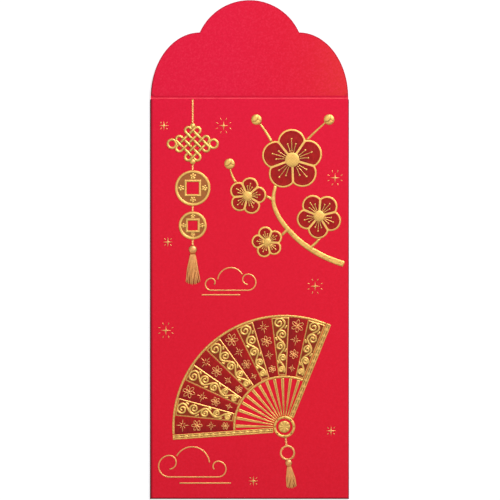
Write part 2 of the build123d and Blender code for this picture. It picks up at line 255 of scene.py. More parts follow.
# Scales of noise, and depths of the grain in the bumps
wear_scale, mottle_scale, fleck_scale = 160.0, 900.0, 1300.0
grain_scale, fibre_scale = 2600.0, 4200.0
swell_scale, patch_scale, foil_scale, streak_scale = 230.0, 260.0, 2400.0, 1500.0
glue_scale, glue_grain_scale = 500.0, 900.0
grain_depth = 0.05 * MM
glue_depth = 0.1 * MM


def paper_material(name, crease_shade_and_wear_highlight=False, edge=0.0, gloss=0.12, pearl=0.45, flap=False):
    """Fine-grained red paper, with painted shade where the hollow value or an edge share says so.

    Pearl is the strength of its pale flecks. Painted light makes the red cooler towards the top and
    warmer and darker at the foot, and a painted warm sheen turns the flap orange towards the right.
    A line of wear and painted highlight lightens the lower lip of the flap crease, and a painted shade
    line darkens the upper one.
    """
    material, tree, shader = new_material(name)
    x, y = place_of(tree)[:2]
    fibre = noise(tree, fibre_scale, 2.0)
    mottle = noise(tree, mottle_scale, 4.0)
    colour = ramp(tree, mottle, ((0.30, RED_DEEP), (0.52, RED), (0.72, RED_LIGHT)))
    fibres = ramp(tree, fibre, ((0.35, grey(0.96)), (0.65, grey(1.03))))
    colour = mix(tree, 1.0, colour, fibres, "MULTIPLY")
    # Painted light: a cool cast towards the top, warmer and darker at the foot, and a painted warm sheen
    # towards the flap's right
    colour = tinted(tree, colour, y, front_low[1], front_high[1], PAPER_PAINTED_LIGHT)
    if flap:
        colour = tinted(tree, colour, x, front_low[0], front_high[0], FLAP_PAINTED_SHEEN)
    flecks = ramp(tree, noise(tree, fleck_scale, 2.0), ((0.46, grey(0.0)), (0.71, grey(1.0))))
    colour = mix(tree, math_node(tree, "MULTIPLY", flecks, 0.38 * pearl), colour, RED_PEARL)
    if crease_shade_and_wear_highlight:
        # Painted shade line on the upper lip, and a line of wear and painted highlight on the lower lip
        shade_line = band(tree, y, (crease_y + shade_line_offset) * MM, shade_line_half * MM)
        colour = mix(tree, math_node(tree, "MULTIPLY", shade_line, shade_line_share), colour, RED_SHADE)
        patchy = ramp(tree, noise(tree, wear_scale, 4.0), ((0.34, grey(0.45)), (0.60, grey(1.0))))
        wear_highlight = band(tree, y, (crease_y + wear_highlight_offset) * MM, wear_highlight_half * MM)
        wear_highlight = math_node(tree, "MULTIPLY", wear_highlight, math_node(tree, "MULTIPLY", patchy, wear_highlight_share))
        colour = mix(tree, wear_highlight, colour, RED_WEAR_HIGHLIGHT)
    # Painted shade: the hollow value or the edge share darkens the red towards RED_SHADE
    dark = math_node(tree, "MAXIMUM", hollow_value(tree), edge)
    tree.links.new(mix(tree, dark, colour, RED_SHADE), shader.inputs["Base Color"])
    set_values(shader, Roughness=0.66, Specular_IOR_Level=gloss)
    grain = math_node(tree, "ADD", noise(tree, grain_scale, 3.0), math_node(tree, "MULTIPLY", fibre, 0.5))
    bump(tree, shader, grain, 0.16, grain_depth)
    return material


def foil_material(name, colour):
    """Stamped metal foil: bright, with darker hollows and a fine unevenness."""
    material, tree, shader = new_material(name)
    dull = tuple(0.84 * channel for channel in colour)
    tone = ramp(tree, noise(tree, patch_scale, 3.0), ((0.32, dull), (0.62, colour)))
    tree.links.new(mix(tree, hollow_value(tree), tone, FOIL_HOLLOW), shader.inputs["Base Color"])
    set_values(shader, Metallic=1.0)
    grain = noise(tree, foil_scale, 3.0)
    spread = add(tree, "ShaderNodeMapRange", To_Min=0.42, To_Max=0.58)
    tree.links.new(grain, spread.inputs["Value"])
    tree.links.new(spread.outputs[0], shader.inputs["Roughness"])
    swell = math_node(tree, "MULTIPLY", noise(tree, swell_scale, 2.0), 6.0)
    bump(tree, shader, math_node(tree, "ADD", grain, swell), 0.3, grain_depth)
    return material


def ink_material(name):
    """Dark-red satin print with a streaky ground."""
    material, tree, shader = new_material(name)
    stretch = add(tree, "ShaderNodeMapping", vector_type="POINT", Scale=(1.0, 0.35, 1.0))
    tree.links.new(add(tree, "ShaderNodeTexCoord").outputs["Object"], stretch.inputs[0])
    streaks = noise(tree, streak_scale, 3.0, source=stretch.outputs[0])
    colour = ramp(tree, streaks, ((0.3, INK_DEEP), (0.7, INK_LIGHT)))
    tree.links.new(mix(tree, hollow_value(tree), colour, INK_HOLLOW), shader.inputs["Base Color"])
    set_values(shader, Roughness=0.45, Specular_IOR_Level=0.14)
    bump(tree, shader, noise(tree, grain_scale, 2.0), 0.2, grain_depth)
    return material


def glue_material(name):
    """Dried white glue."""
    material, tree, shader = new_material(name)
    colour = ramp(tree, noise(tree, glue_scale), ((0.3, GLUE_DEEP), (0.7, GLUE_PALE)))
    tree.links.new(colour, shader.inputs["Base Color"])
    set_values(shader, Roughness=0.45)
    bump(tree, shader, noise(tree, glue_grain_scale), 0.3, glue_depth)
    return material


PAPER = paper_material("red_paper")
FLAP = paper_material("red_paper_flap", pearl=1.25, flap=True)
# Paper of the crease, with a painted shade line above it and a line of wear and painted highlight below
# it
CREASE = paper_material("red_paper_crease", crease_shade_and_wear_highlight=True)
# Painted shade of the rounded folds: near black on the left fold, softer on the right and bottom folds
LEFT_FOLD_SHADE = paper_material("red_paper_left_fold_painted_shade", edge=0.93, gloss=0.0)
SOFT_FOLD_SHADE = paper_material("red_paper_soft_fold_painted_shade", edge=0.72, gloss=0.03)
GOLD = foil_material("gold_foil", GOLD_TONE)
ROSE_GOLD = foil_material("rose_gold_foil", ROSE_TONE)
INK = ink_material("dark_red_ink")
GLUE = glue_material("dried_glue")


# Drawing helpers


def held(value):
    """Value held between 0 and 1."""
    return np.clip(value, 0, 1)


def ease(value, start, run):
    """Straight rise from 0 at a start to 1 after a run."""
    return held((value - start) / run)


def fade(value, run):
    """Straight fall from 1 at zero to 0 after a run."""
    return held(1 - value / run)


def peak(offset, width):
    """Smooth bump of height 1."""
    return np.exp(-((offset / width) ** 2))


def dome(share):
    """Height of a half circle at a share of its radius."""
    return np.sqrt(held(1 - share**2))


def rounded(depth, rim, height):
    """Height over a rounded edge."""
    return height * dome(1 - held(depth / rim))


def heading(angle):
    """Unit vectors at one or more angles."""
    return np.stack([np.cos(angle), np.sin(angle)], -1)


def circle(middle, radius, count):
    """Points round a circle."""
    return np.asarray(middle) + radius * heading(np.linspace(0, TURN, count + 1)[:-1])


def middle_of(loop):
    """Middle of the box round a loop."""
    return (loop.min(0) + loop.max(0)) / 2


def left_of(run):
    """Vectors at right angles to one or more others, on their left."""
    return np.stack([-run[..., 1], run[..., 0]], -1)


def unit(run):
    """Vectors of length 1."""
    return run / np.maximum(np.hypot(run[:, 0], run[:, 1]), 1e-9)[:, None]


def lift(points):
    """Height of the slightly full front panel over its flat CAD face."""
    x, y = points[:, 0], points[:, 1]
    u = np.clip((x - panel_middle[0]) / panel_half[0], -1, 1)
    v = np.clip((y - panel_middle[1]) / panel_half[1], -1, 1)
    hold = (1 - u**2) * (1 - v**4)
    wave = unevenness * np.sin(wave_x * x + 0.6) * np.sin(wave_y * y + 0.4)
    return hold * (fullness + wave)


def placed(name, data):
    """New object in the scene."""
    item = bpy.data.objects.new(name, data)
    bpy.context.scene.collection.objects.link(item)
    return item


def make_piece(name, verts, faces, material, body, stands_for, hollow=None, sharp=40):
    """Mesh object from points, riding on a body where one is named."""
    mesh = bpy.data.meshes.new(name)
    mesh.from_pydata([tuple(v) for v in np.asarray(verts, float) * MM], [], [tuple(f) for f in faces])
    mesh.validate()
    if hollow is not None:
        attribute = mesh.attributes.new("hollow", "FLOAT", "POINT")
        attribute.data.foreach_set("value", np.asarray(hollow, np.float32))
    mesh.shade_smooth()
    mesh.set_sharp_from_angle(angle=math.radians(sharp))
    mesh.materials.append(material)
    piece = placed(name, mesh)
    if body:
        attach(piece, body)
    if stands_for:
        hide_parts(*stands_for)
    return piece


def chains(follow):
    """Closed loops, as lists of points, from a dictionary of each point's next one."""
    loops = []
    while follow:
        start, at = follow.popitem()
        loop = [start]
        while at != start:
            loop.append(at)
            at = follow.pop(at)
        loops.append(loop)
    return loops


def cad_shapes(node):
    """Outlines of the top faces of a CAD node: for each face a list of closed loops."""
    mesh = nodes[node].data
    places = {}
    index = []
    for vertex in mesh.vertices:
        key = tuple(round(c * 1e7) for c in vertex.co)
        index.append(places.setdefault(key, len(places)))
    points = np.array(list(places), float) * 1e-4
    owner = {}
    tops = [[index[i] for i in p.vertices] for p in mesh.polygons if p.normal.z > 0.9]
    for number, face in enumerate(tops):
        for a, b in zip(face, face[1:] + face[:1]):
            owner.setdefault(frozenset((a, b)), []).append(number)
    group = list(range(len(tops)))

    def root(i):
        while group[i] != i:
            i = group[i]
        return i

    for members in owner.values():
        for other in members[1:]:
            group[root(other)] = root(members[0])
    follow = {}
    for number, face in enumerate(tops):
        for a, b in zip(face, face[1:] + face[:1]):
            if len(owner[frozenset((a, b))]) == 1:
                follow.setdefault(root(number), {})[a] = b
    shapes = []
    for chain in follow.values():
        loops = [points[loop][:, :2] for loop in chains(chain)]
        loops.sort(key=lambda loop: -np.ptp(loop[:, 0]) * np.ptp(loop[:, 1]))
        shapes.append(loops)
    shapes.sort(key=lambda loops: tuple(np.round(loops[0].mean(0), 3)))
    return shapes


def inside(points, loops):
    """Even-odd test of points against closed loops."""
    hit = np.zeros(len(points), bool)
    x, y = points[:, 0], points[:, 1]
    for loop in loops:
        for (x0, y0), (x1, y1) in zip(loop, np.roll(loop, -1, 0)):
            cross = (y0 > y) != (y1 > y)
            if cross.any():
                hit[cross] ^= x[cross] < x0 + (y[cross] - y0) / (y1 - y0) * (x1 - x0)
    return hit


def line_distance(points, lines, closed=False):
    """Distance of points from the nearest of some lines."""
    best = np.full(len(points), 1e9)
    for line in lines:
        ends = np.roll(line, -1, 0) if closed else line[1:]
        for start, end in zip(line, ends):
            run = end - start
            share = held((points - start) @ run / max(run @ run, 1e-12))
            gap = points - start - share[:, None] * run
            best = np.minimum(best, np.hypot(gap[:, 0], gap[:, 1]))
    return best


def ridges(points, lines, width, height):
    """Half-round ridges along lines."""
    return height * dome(held(line_distance(points, lines) / (width / 2)))


def fine_loop(loop, step):
    """Loop with extra points, so that no side is longer than a step."""
    out = []
    for start, end in zip(loop, np.roll(loop, -1, 0)):
        count = max(1, int(math.ceil(np.hypot(*(end - start)) / step)))
        out.extend(start + (end - start) * i / count for i in range(count))
    return np.array(out)


def filled(loops, spacing, rim):
    """Points, triangles and edge distances of a shape, with closer points along its rim."""
    loops = [fine_loop(loop, max(spacing, rim) * 1.2) for loop in loops]
    parts = list(loops)
    for rim_share in (0.12, 0.35, 0.65, 1.0):
        for loop in loops:
            inward = left_of(unit(np.roll(loop, -1, 0) - np.roll(loop, 1, 0)))
            moved = loop + inward * rim_share * rim
            keep = inside(moved, loops)
            keep &= line_distance(moved, loops, True) > 0.97 * rim_share * rim
            parts.append(moved[keep])
    low = np.min([loop.min(0) for loop in loops], 0)
    high = np.max([loop.max(0) for loop in loops], 0)
    columns = np.arange(low[0], high[0], spacing)
    grid = [np.zeros((0, 2))]
    for row, y in enumerate(np.arange(low[1], high[1], spacing * 0.866)):
        grid.append(np.column_stack([columns + spacing / 2 * (row % 2), np.full(len(columns), y)]))
    grid = np.concatenate(grid)
    grid = grid[inside(grid, loops)]
    grid = grid[line_distance(grid, loops, True) > rim + 0.6 * spacing]
    points = np.concatenate([*parts, grid])
    edges = []
    first = 0
    for loop in loops:
        edges += [(first + i, first + (i + 1) % len(loop)) for i in range(len(loop))]
        first += len(loop)
    made = geometry.delaunay_2d_cdt([Vector(p) for p in points], edges, [], 0, 1e-6)
    points = np.array([tuple(v) for v in made[0]])
    faces = np.array([f for f in made[2] if len(f) == 3])
    faces = faces[inside(points[faces].mean(1), loops)]
    a, b, c = points[faces[:, 0]], points[faces[:, 1]], points[faces[:, 2]]
    turn = (b[:, 0] - a[:, 0]) * (c[:, 1] - a[:, 1]) - (b[:, 1] - a[:, 1]) * (c[:, 0] - a[:, 0])
    sliver = (faces < first).all(1) & (turn < 2e-5)
    faces = faces[~sliver]
    return points, faces, line_distance(points, loops, True)


def spanned(points, border):
    """Triangles across a shape that use only the points of its border."""
    loops = chains(dict(border))
    used = [i for loop in loops for i in loop]
    place = {i: k for k, i in enumerate(used)}
    edges = [(place[a], place[b]) for a, b in border]
    made = geometry.delaunay_2d_cdt([Vector(points[i]) for i in used], edges, [], 1, 1e-6)
    faces = np.array([[used[made[3][i][0]] for i in face] for face in made[2]])
    return faces[inside(points[faces].mean(1), [points[loop] for loop in loops])]


class Stock:
    """Points, faces and hollow values of the solids that make one piece."""

    def __init__(self):
        self.verts, self.faces, self.hollow = [], [], []

    def put(self, verts, faces, hollow):
        """Adds one solid."""
        start = len(self.verts)
        self.verts.extend(map(tuple, verts))
        self.faces.extend(tuple(start + i for i in face) for face in faces)
        self.hollow.extend(hollow)

    def block(self, points, faces, heights, hollow=None, root=-sink, fine_back=False):
        """Shaped top, side walls and a back, which lies a little inside the front sheet."""
        ground = sheet_z + lift(points)
        count = len(points)
        hollow = np.zeros(count) if hollow is None else hollow
        top = np.column_stack([points, ground + heights])
        under = np.column_stack([points, ground + root])
        sides = {}
        for face in faces:
            for a, b in zip(face, np.roll(face, -1)):
                sides[(a, b)] = None
        border = [(a, b) for a, b in sides if (b, a) not in sides]
        walls = [(b, a, a + count, b + count) for a, b in border]
        backs = faces if fine_back else spanned(points, border)
        skins = [tuple(f) for f in faces] + [tuple(i + count for i in f[::-1]) for f in backs]
        self.put(np.concatenate([top, under]), skins + walls, np.concatenate([hollow, hollow]))

    def bead(self, line, width, height, closed=False, base=0.0, tips=1.0, hollow=0.0):
        """Half-round bead along a line, tapering to a share of its width at the tips."""
        line = np.asarray(line, float)
        if closed:
            run = np.roll(line, -1, 0) - np.roll(line, 1, 0)
        else:
            run = np.gradient(line, axis=0)
        side = left_of(unit(run))
        count = len(line)
        thick = np.ones(count)
        if not closed:
            thick = tips + (1 - tips) * dome(np.linspace(-1, 1, count) ** 2)
        ground = sheet_z + lift(line) + np.broadcast_to(base, count)
        section_shares = ((-1, -1), (-1, 0.05), (-0.75, 0.66), (0, 1), (0.75, 0.66), (1, 0.05), (1, -1))
        rings = []
        for across, up in section_shares:
            flat = line + side * (across * width / 2 * thick)[:, None]
            level = ground + (up * height * thick if up > 0 else -sink)
            rings.append(np.column_stack([flat, level]))
        size = len(rings)
        verts = np.stack(rings, 1).reshape(-1, 3)
        faces = []
        for i in range(count if closed else count - 1):
            j = (i + 1) % count
            for k in range(size):
                m = (k + 1) % size
                faces.append((i * size + k, i * size + m, j * size + m, j * size + k))
        if not closed:
            faces.append(tuple(range(size))[::-1])
            faces.append(tuple((count - 1) * size + k for k in range(size)))
        self.put(verts, faces, np.repeat(np.broadcast_to(hollow, count), size))

    def dot(self, middle, radius, height, base=0.0):
        """Small dome of three rings and a top."""
        sides = 12
        middle = np.asarray(middle)
        loop = circle(middle, radius, sides)
        rings = [loop] + [middle + (loop - middle) * ring_share for ring_share in (0.8, 0.4)]
        points = np.concatenate([*rings, [middle]])
        level = np.append(np.repeat((0.0, 0.6, 0.92), sides), 1.0) * height
        faces = []
        for a in (0, sides):
            b = a + sides
            for i in range(sides):
                j = (i + 1) % sides
                faces += [(a + i, a + j, b + j), (a + i, b + j, b + i)]
        last, tip = 2 * sides, 3 * sides
        faces += [(last + i, last + (i + 1) % sides, tip) for i in range(sides)]
        self.block(points, np.array(faces), base + level)

    def piece(self, name, material, *stands_for):
        """Makes the piece, riding on the envelope."""
        make_piece(name, self.verts, self.faces, material, "envelope", stands_for, self.hollow, sharp=50)


def relief(name, node, material, height, rim, spacing, shape):
    """Rounded foil or ink over the outlines of a CAD node. shape adds heights and hollows."""
    stock = Stock()
    for loops in cad_shapes(node):
        points, faces, depth = filled(loops, spacing, rim)
        heights = rounded(depth, rim, height)
        hollow = None
        if shape is not None:
            heights, hollow = shape(points, depth, heights, loops)
        stock.block(points, faces, heights, hollow)
    stock.piece(name, material, node)


# Paper


def sheet(xs, ys, level):
    """Flat points of a grid, and the points and faces of a sheet of paper over it."""
    wide, tall = len(xs), len(ys)
    flat = np.array([(x, y) for y in ys for x in xs])
    top = level(flat)
    verts = np.concatenate([np.column_stack([flat, top]), np.column_stack([flat, top - paper])])
    count = len(flat)
    faces = []
    for j in range(tall - 1):
        for i in range(wide - 1):
            a = j * wide + i
            quad = (a, a + 1, a + wide + 1, a + wide)
            faces += [quad, tuple(count + k for k in quad[::-1])]
    rim = list(range(wide - 1))
    rim += [j * wide + wide - 1 for j in range(tall - 1)]
    rim += [(tall - 1) * wide + i for i in range(wide - 1, 0, -1)]
    rim += [j * wide for j in range(tall - 1, 0, -1)]
    faces += [(b, a, a + count, b + count) for a, b in zip(rim, rim[1:] + rim[:1])]
    return flat, verts, faces


# Front panel, with painted shade along its left fold
xs = np.linspace(front_low[0], front_high[0], 43)
xs[1] = front_low[0] + painted_fold_shade_width
ys = np.linspace(front_low[1], front_high[1], 85)
flat, verts, faces = sheet(xs, ys, lambda flat: sheet_z + lift(flat))
painted_fold_shade = np.tile(painted_fold_shade_share * fade(flat[:, 0] - front_low[0], painted_fold_shade_width), 2)
make_piece("front_sheet", verts, faces, PAPER, "envelope", ["front_panel"], painted_fold_shade)


def score_level(flat):
    """Top of the crease, with the dip of its score."""
    return sheet_z - score_depth * held(1 - ((flat[:, 1] - crease_y) / score_half) ** 2) ** 1.5


# Scored crease, as a fine grid of points
xs = np.linspace(crease_low[0], crease_high[0], 60)
ys = np.linspace(crease_low[1], crease_high[1], 25)
flat, verts, faces = sheet(xs, ys, score_level)
crease = make_piece("crease_bend", verts, faces, CREASE, None, ["flap_crease"])
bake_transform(crease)

# Folds, back and glue, which are the CAD nodes themselves
coats = {
    PAPER: ("back_panel", "side_glue_tab", "bottom_flap"),
    # The left, right and bottom folds get red paper darkened with painted shade
    LEFT_FOLD_SHADE: ("left_side_fold",),
    SOFT_FOLD_SHADE: ("right_side_fold", "bottom_fold"),
    GLUE: ("side_seam_glue", "bottom_seam_glue"),
}
for coat, names in coats.items():
    for name in names:
        nodes[name].data.materials.clear()
        nodes[name].data.materials.append(coat)

# Flap, with a cut edge that is pressed down a little and shaded along its rim, most of all on the left
loops = cad_shapes("top_flap")[0]
flap_spacing, flap_rim = 1.6, 0.9
points, faces = filled(loops, flap_spacing, flap_rim)[:2]
first = np.argmin(loops[0] @ (-0.001, 1.0))
cut_line = np.roll(loops[0], -first, 0)
from_cut = line_distance(points, [cut_line])
from_crease = points[:, 1] - crease_high[1]
leftness = ease(-points[:, 0], -flap_low[0] - left_reach, left_run)
cut_shade = cut_share * fade(from_cut, cut_width)
left_shade = left_share * leftness * held(left_full_share - from_cut / left_width)
root_shade = root_share * fade(from_crease, root_width)
rim_shade = np.max([cut_shade, left_shade, root_shade], 0)
press = np.where(from_crease > 0.01, press_depth * fade(from_cut, press_width) ** 2, 0.0)
flap = Stock()
flap.block(points, faces, -press, rim_shade, root=-paper, fine_back=True)
make_piece("flap_sheet", flap.verts, flap.faces, FLAP, "flap", ["top_flap"], flap.hollow)

# Print: shapes of each motif


def polar(points):
    """Radius and angle about the fan's pivot."""
    gap = points - pivot
    return np.hypot(gap[:, 0], gap[:, 1]), np.arctan2(gap[:, 1], gap[:, 0]) % TURN


def spiral(middle, radius, start, turns, hand):
    """Line that curls inwards round a middle, to a fifth of its radius."""
    share = np.linspace(0, 1, 34)
    angle = start + hand * share * turns * TURN
    size = radius * (1 - 0.8 * share**0.85)
    return np.asarray(middle) + size[:, None] * heading(angle)


def pleat_room(loops):
    """Inner and outer radius, middle angle and angle across of a pleat."""
    radius, angle = polar(loops[0])
    return radius.min(), radius.max(), (angle.min() + angle.max()) / 2, np.ptp(angle)


def pleat_scrolls(loops):
    """Wavy stem with a curl in each bay, and a leaf between bays, along a pleat."""
    bays = 5
    swing_share, curl_share, curl_aside_share, leaf_aside_share = 0.52, 0.66, 0.16, 0.58
    leaf_length, leaf_gap = 0.9, 0.5
    inner, outer, middle, across = pleat_room(loops)
    step = (outer - inner) / bays
    radius = inner + np.linspace(0.06, 0.94, 60) * (outer - inner)
    swing = swing_share * np.cos(math.pi * (radius - inner - step / 2) / step)
    angle = middle - swing * across / 2
    lines = [pivot + radius[:, None] * heading(angle)]
    for bay in range(bays):
        hand = 1 if bay % 2 == 0 else -1
        at = inner + (bay + 0.5) * step
        eye = pivot + at * heading(middle + hand * curl_aside_share * across / 2)
        curl = curl_share * at * across / 2
        lines.append(spiral(eye, curl, middle - hand * TURN / 4, 1.45, hand))
        if bay < bays - 1:
            leaf = middle + hand * leaf_aside_share * across / 2
            foot = pivot + (inner + (bay + 0.98) * step + leaf_gap) * heading(leaf)
            lines.append(np.stack([foot, foot + leaf_length * heading(leaf + hand * 0.5)]))
    return lines


def gold_pleat(points, depth, heights, loops):
    """Raised edge and scrolls over a field darkened with painted shade, on a pleat that leans to one
    side.
    """
    lean_height = 0.16
    edge_height, edge_inset, edge_width = 0.09, 0.34, 0.16
    scroll_width, scroll_height = 0.78, 0.2
    middle, across = pleat_room(loops)[2:]
    lean = lean_height * (polar(points)[1] - middle) / across
    edge = edge_height * peak(depth - edge_inset, edge_width)
    scroll = np.maximum(ridges(points, pleat_scrolls(loops), scroll_width, scroll_height), edge)
    hollow = held(1.15 - scroll / edge_height) * (depth > soft_edge)
    return heights + rounded(depth, soft_edge, lean + scroll), hollow


def red_pleat(points, depth, heights, loops):
    """Smooth dark field that leans the other way, shaded towards one side."""
    lean_height, rim, shade_share = -0.10, 0.2, 0.55
    middle, across = pleat_room(loops)[2:]
    aside = (polar(points)[1] - middle) / across
    hollow = shade_share * held(aside + 0.5) ** 2
    return heights + rounded(depth, rim, lean_height * aside), hollow


def rope(points, depth, heights, loops):
    """Twisted cord round the fan's pivot, with painted shade in the grooves of its twist."""
    lay, slant = 1.5, 4.0
    radius, angle = polar(points)
    middle = radius.mean()
    twist = np.sin(angle * middle * TURN / lay + (radius - middle) * slant)
    return heights * (0.84 + 0.16 * twist), 0.45 * held(-twist - 0.2)


def along(points, loops):
    """Places along and across the long direction of a shape."""
    middle = loops[0].mean(0)
    run = np.linalg.svd(loops[0] - middle)[2][0]
    gap = points - middle
    return gap @ run, gap @ left_of(run)


def stick(points, depth, heights, loops):
    """Stick with a groove down its middle, darkened with painted shade."""
    groove_width, groove_depth, groove_inset = 0.13, 0.09, 0.2
    groove = peak(along(points, loops)[1], groove_width) * (depth > groove_inset)
    return heights - groove_depth * groove, 0.8 * groove


def guard(points, depth, heights, loops):
    """Raised border and a chain of lozenges and dots over a dark field."""
    pitch, lozenge_half, dot_radius = 2.9, 0.62, 0.34
    field_inset, field_run, field_depth = 0.42, 0.12, 0.13
    far, side = along(points, loops)
    bay = np.abs((far / pitch) % 1.0 - 0.5) * 2
    lozenge = np.clip(1.1 - (bay + np.abs(side) / lozenge_half), 0, 0.5) * 2
    dot = fade(np.hypot((bay - 1) * pitch / 2, side), dot_radius)
    raised = np.maximum(lozenge, np.sqrt(dot))
    field = ease(depth, field_inset, field_run)
    hollow = 0.75 * field * (1 - held(raised * 3))
    return heights - field_depth * field * (1 - raised), hollow


def notched(points, depth, heights, loops):
    """Ring with dark notches, or a rivet with petals."""
    count, notch_depth, notch_inset, notch_run, rivet_heart = 8, 0.12, 0.2, 0.15, 0.8
    radius, angle = polar(points)
    wave = np.cos(count * angle)
    if len(loops) > 1:
        notch = ease(wave, 0.72, 0.15) * ease(depth, notch_inset, notch_run)
        return heights - notch_depth * notch, 0.85 * notch
    wave = wave * ease(radius, 0, rivet_heart)
    return heights * (0.85 + 0.15 * wave), 0.5 * held(-wave - 0.3)


def bark(points, depth, heights, loops):
    """Low knots and fine uneven streaks on the branch, with painted shade in the grooves of the streaks.
    """
    groove_depth, groove_inset, groove_run = 0.05, 0.18, 0.2
    x, y = points[:, 0], points[:, 1]
    swell = 0.10 * np.sin(0.55 * x - 0.75 * y) + 0.06 * np.sin(1.4 * x + 0.9 * y + 1.3)
    streak = np.sin(9.0 * depth + 1.6 * np.sin(0.8 * x + 0.5 * y)) * np.sin(0.9 * x - 1.3 * y)
    groove = ease(streak, 0.5, 0.3) * ease(depth, groove_inset, groove_run)
    return heights * (1 + swell) - groove_depth * groove, 0.45 * groove


def bud(points, depth, heights, loops):
    """Closed bud: one petal wrapped over another, with painted shade in the grooves between them."""
    lip_height, lip_inset = 0.06, 0.1
    groove_share, groove_depth, groove_inset, groove_run = 0.075, 0.07, 0.2, 0.25
    size = np.ptp(loops[0][:, 0]) / 2
    gap = (points - middle_of(loops[0])) / size
    wrap = np.hypot(gap[:, 0] + 0.55, gap[:, 1] - 0.45) - 0.85
    under = np.hypot(gap[:, 0] - 0.75, gap[:, 1] - 0.6) - 0.8
    groove = peak(wrap, groove_share) + (wrap > 0.05) * peak(under, groove_share)
    groove = held(groove) * ease(depth, groove_inset, groove_run)
    lip = lip_height * held(-wrap * 6) * (depth > lip_inset)
    return heights + lip - groove_depth * groove, 0.75 * groove


# Heart and petals of each blossom
blossoms = [[middle_of(loops[0]), []] for loops in cad_shapes("blossom_grounds")]


def nearest_blossom(place):
    """Blossom whose heart is nearest to a place."""
    return min(blossoms, key=lambda blossom: np.hypot(*(blossom[0] - place)))


for loops in cad_shapes("blossom_petals"):
    middle = middle_of(loops[0])
    nearest_blossom(middle)[1].append((middle, loops))
for blossom in blossoms:
    blossom[0] = np.mean([middle for middle, loops in blossom[1]], 0)


petal_edge = 0.2


def petal_height(depth, size):
    """Height of a cupped petal at a depth inside its edge."""
    crown_height, cup_height, cup_inset, cup_width = 0.16, 0.13, 0.45, 0.35
    crown = crown_height * held(depth / (0.5 * size))
    cup = cup_height * peak(depth - cup_inset, cup_width)
    return rounded(depth, soft_edge, petal_edge + crown + cup)


def petal(points, depth, heights, loops):
    """Cupped petal, darker towards the heart of the blossom."""
    middle = middle_of(loops[0])
    heart = nearest_blossom(middle)[0]
    size = np.hypot(*(middle - heart))
    reach = np.hypot(*(points - heart).T) / size
    return petal_height(depth, size), 0.85 * held(1.15 - reach)


def heart_shape(points, depth, heights, loops):
    """Gold ground of a blossom, with a dimpled dome at the heart and painted shade in the dimples."""
    dome_height, dome_share, dimple_pace = 0.22, 0.24, 5.2
    heart = nearest_blossom(middle_of(loops[0]))[0]
    size = np.ptp(loops[0], 0).max() / 2
    reach = np.hypot(*(points - heart).T) / size
    dimple = np.sin(points[:, 0] * dimple_pace) * np.sin(points[:, 1] * dimple_pace)
    hollow = 0.45 * held(dimple - 0.2) * (reach < 0.3)
    return heights + rounded(depth, soft_edge, dome_height * dome(reach / dome_share)), hollow


# Name, CAD node, material, height, width of the rounded edge, spacing of the points, shape
reliefs = (
    ("fan_gold_foil", "fan_gold_pleats", GOLD, 0.13, soft_edge, 0.17, gold_pleat),
    ("fan_red_ink", "fan_red_pleats", INK, 0.12, 0.2, 0.5, red_pleat),
    ("fan_rim_bands", "fan_rims", GOLD, 0.26, 0.5, 0.2, rope),
    ("fan_stick_foil", "fan_sticks", GOLD, 0.2, soft_edge, 0.16, stick),
    ("fan_guard_foil", "fan_guards", GOLD, 0.26, soft_edge, 0.16, guard),
    ("fan_hub_foil", "fan_hub", GOLD, 0.34, 0.7, 0.2, notched),
    ("branch_foil", "plum_branch", GOLD, 0.3, 0.6, 0.25, bark),
    ("bud_foil", "plum_buds", GOLD, 0.4, 1.5, 0.2, bud),
    ("cloud_foil", "cloud_scrolls", ROSE_GOLD, 0.2, soft_edge, 0.25, None),
    ("blossom_foil", "blossom_grounds", GOLD, 0.22, soft_edge, 0.35, heart_shape),
    ("petal_ink", "blossom_petals", INK, petal_edge, soft_edge, 0.35, petal),
)
for row in reliefs:
    relief(*row)

# Gold line flowers and stars on the dark pleats
line_height, line_base, star_width, flower_width = 0.13, 0.1, 0.4, 0.3
eye_radius, eye_height = 0.12, 0.2
first_share, step_share, size_share, ray_shares = 0.13, 0.245, 0.40, (0.95, 0.55)
ornament = Stock()
for number, loops in enumerate(cad_shapes("fan_red_pleats")):
    inner, outer, middle, across = pleat_room(loops)
    for place in range(4):
        at = inner + (outer - inner) * (first_share + step_share * place)
        size = size_share * at * across
        spot = pivot + at * heading(middle)
        if (place + number) % 2:
            for ray in range(8):
                aim = heading(middle + ray * TURN / 8)
                long = size * ray_shares[ray % 2]
                line = [spot + reach * aim for reach in (0.16 * size, 0.6 * long, long)]
                ornament.bead(line, star_width, line_height, base=line_base, tips=0.35)
            continue
        turn = np.linspace(0, TURN, 13)[:-1]
        out = 0.58 + 0.36 * np.cos(turn)
        side = 0.21 * np.sin(turn)
        for leaf in range(6):
            aim = middle + leaf * TURN / 6
            line = spot + size * (out[:, None] * heading(aim) + side[:, None] * heading(aim + TURN / 4))
            ornament.bead(line, flower_width, line_height, closed=True, base=line_base)
        ornament.dot(spot, 0.15 * size + eye_radius, eye_height, base=line_base)
ornament.piece("fan_red_ornament", ROSE_GOLD)

# Stamens of the blossoms, which follow the petals that they lie on
stamen_width, stamen_height, stamen_sink, heart_height = 0.34, 0.17, 0.05, 0.26
tip_radius, tip_height, tip_share, start_share = 0.24, 0.24, 0.028, 0.44
stamens = Stock()
for heart, petals in blossoms:
    for middle, loops in petals:
        run = middle - heart
        size = np.hypot(*run)
        aim = math.atan2(run[1], run[0])
        for turn, reach in ((-0.26, 0.92), (0.0, 1.18), (0.26, 0.92)):
            share = np.linspace(0, 1, 8)
            out = size * (start_share + (reach - start_share) * share)
            line = heart + out[:, None] * heading(aim + turn * (0.8 + 0.2 * share))
            depth = line_distance(line, loops, True)
            base = np.where(inside(line, loops), petal_height(depth, size), heart_height) - stamen_sink
            stamens.bead(line, stamen_width, stamen_height, base=base)
            stamens.dot(line[-1], tip_radius + tip_share * size, tip_height, base=base[-1])
stamens.piece("blossom_stamens", GOLD)

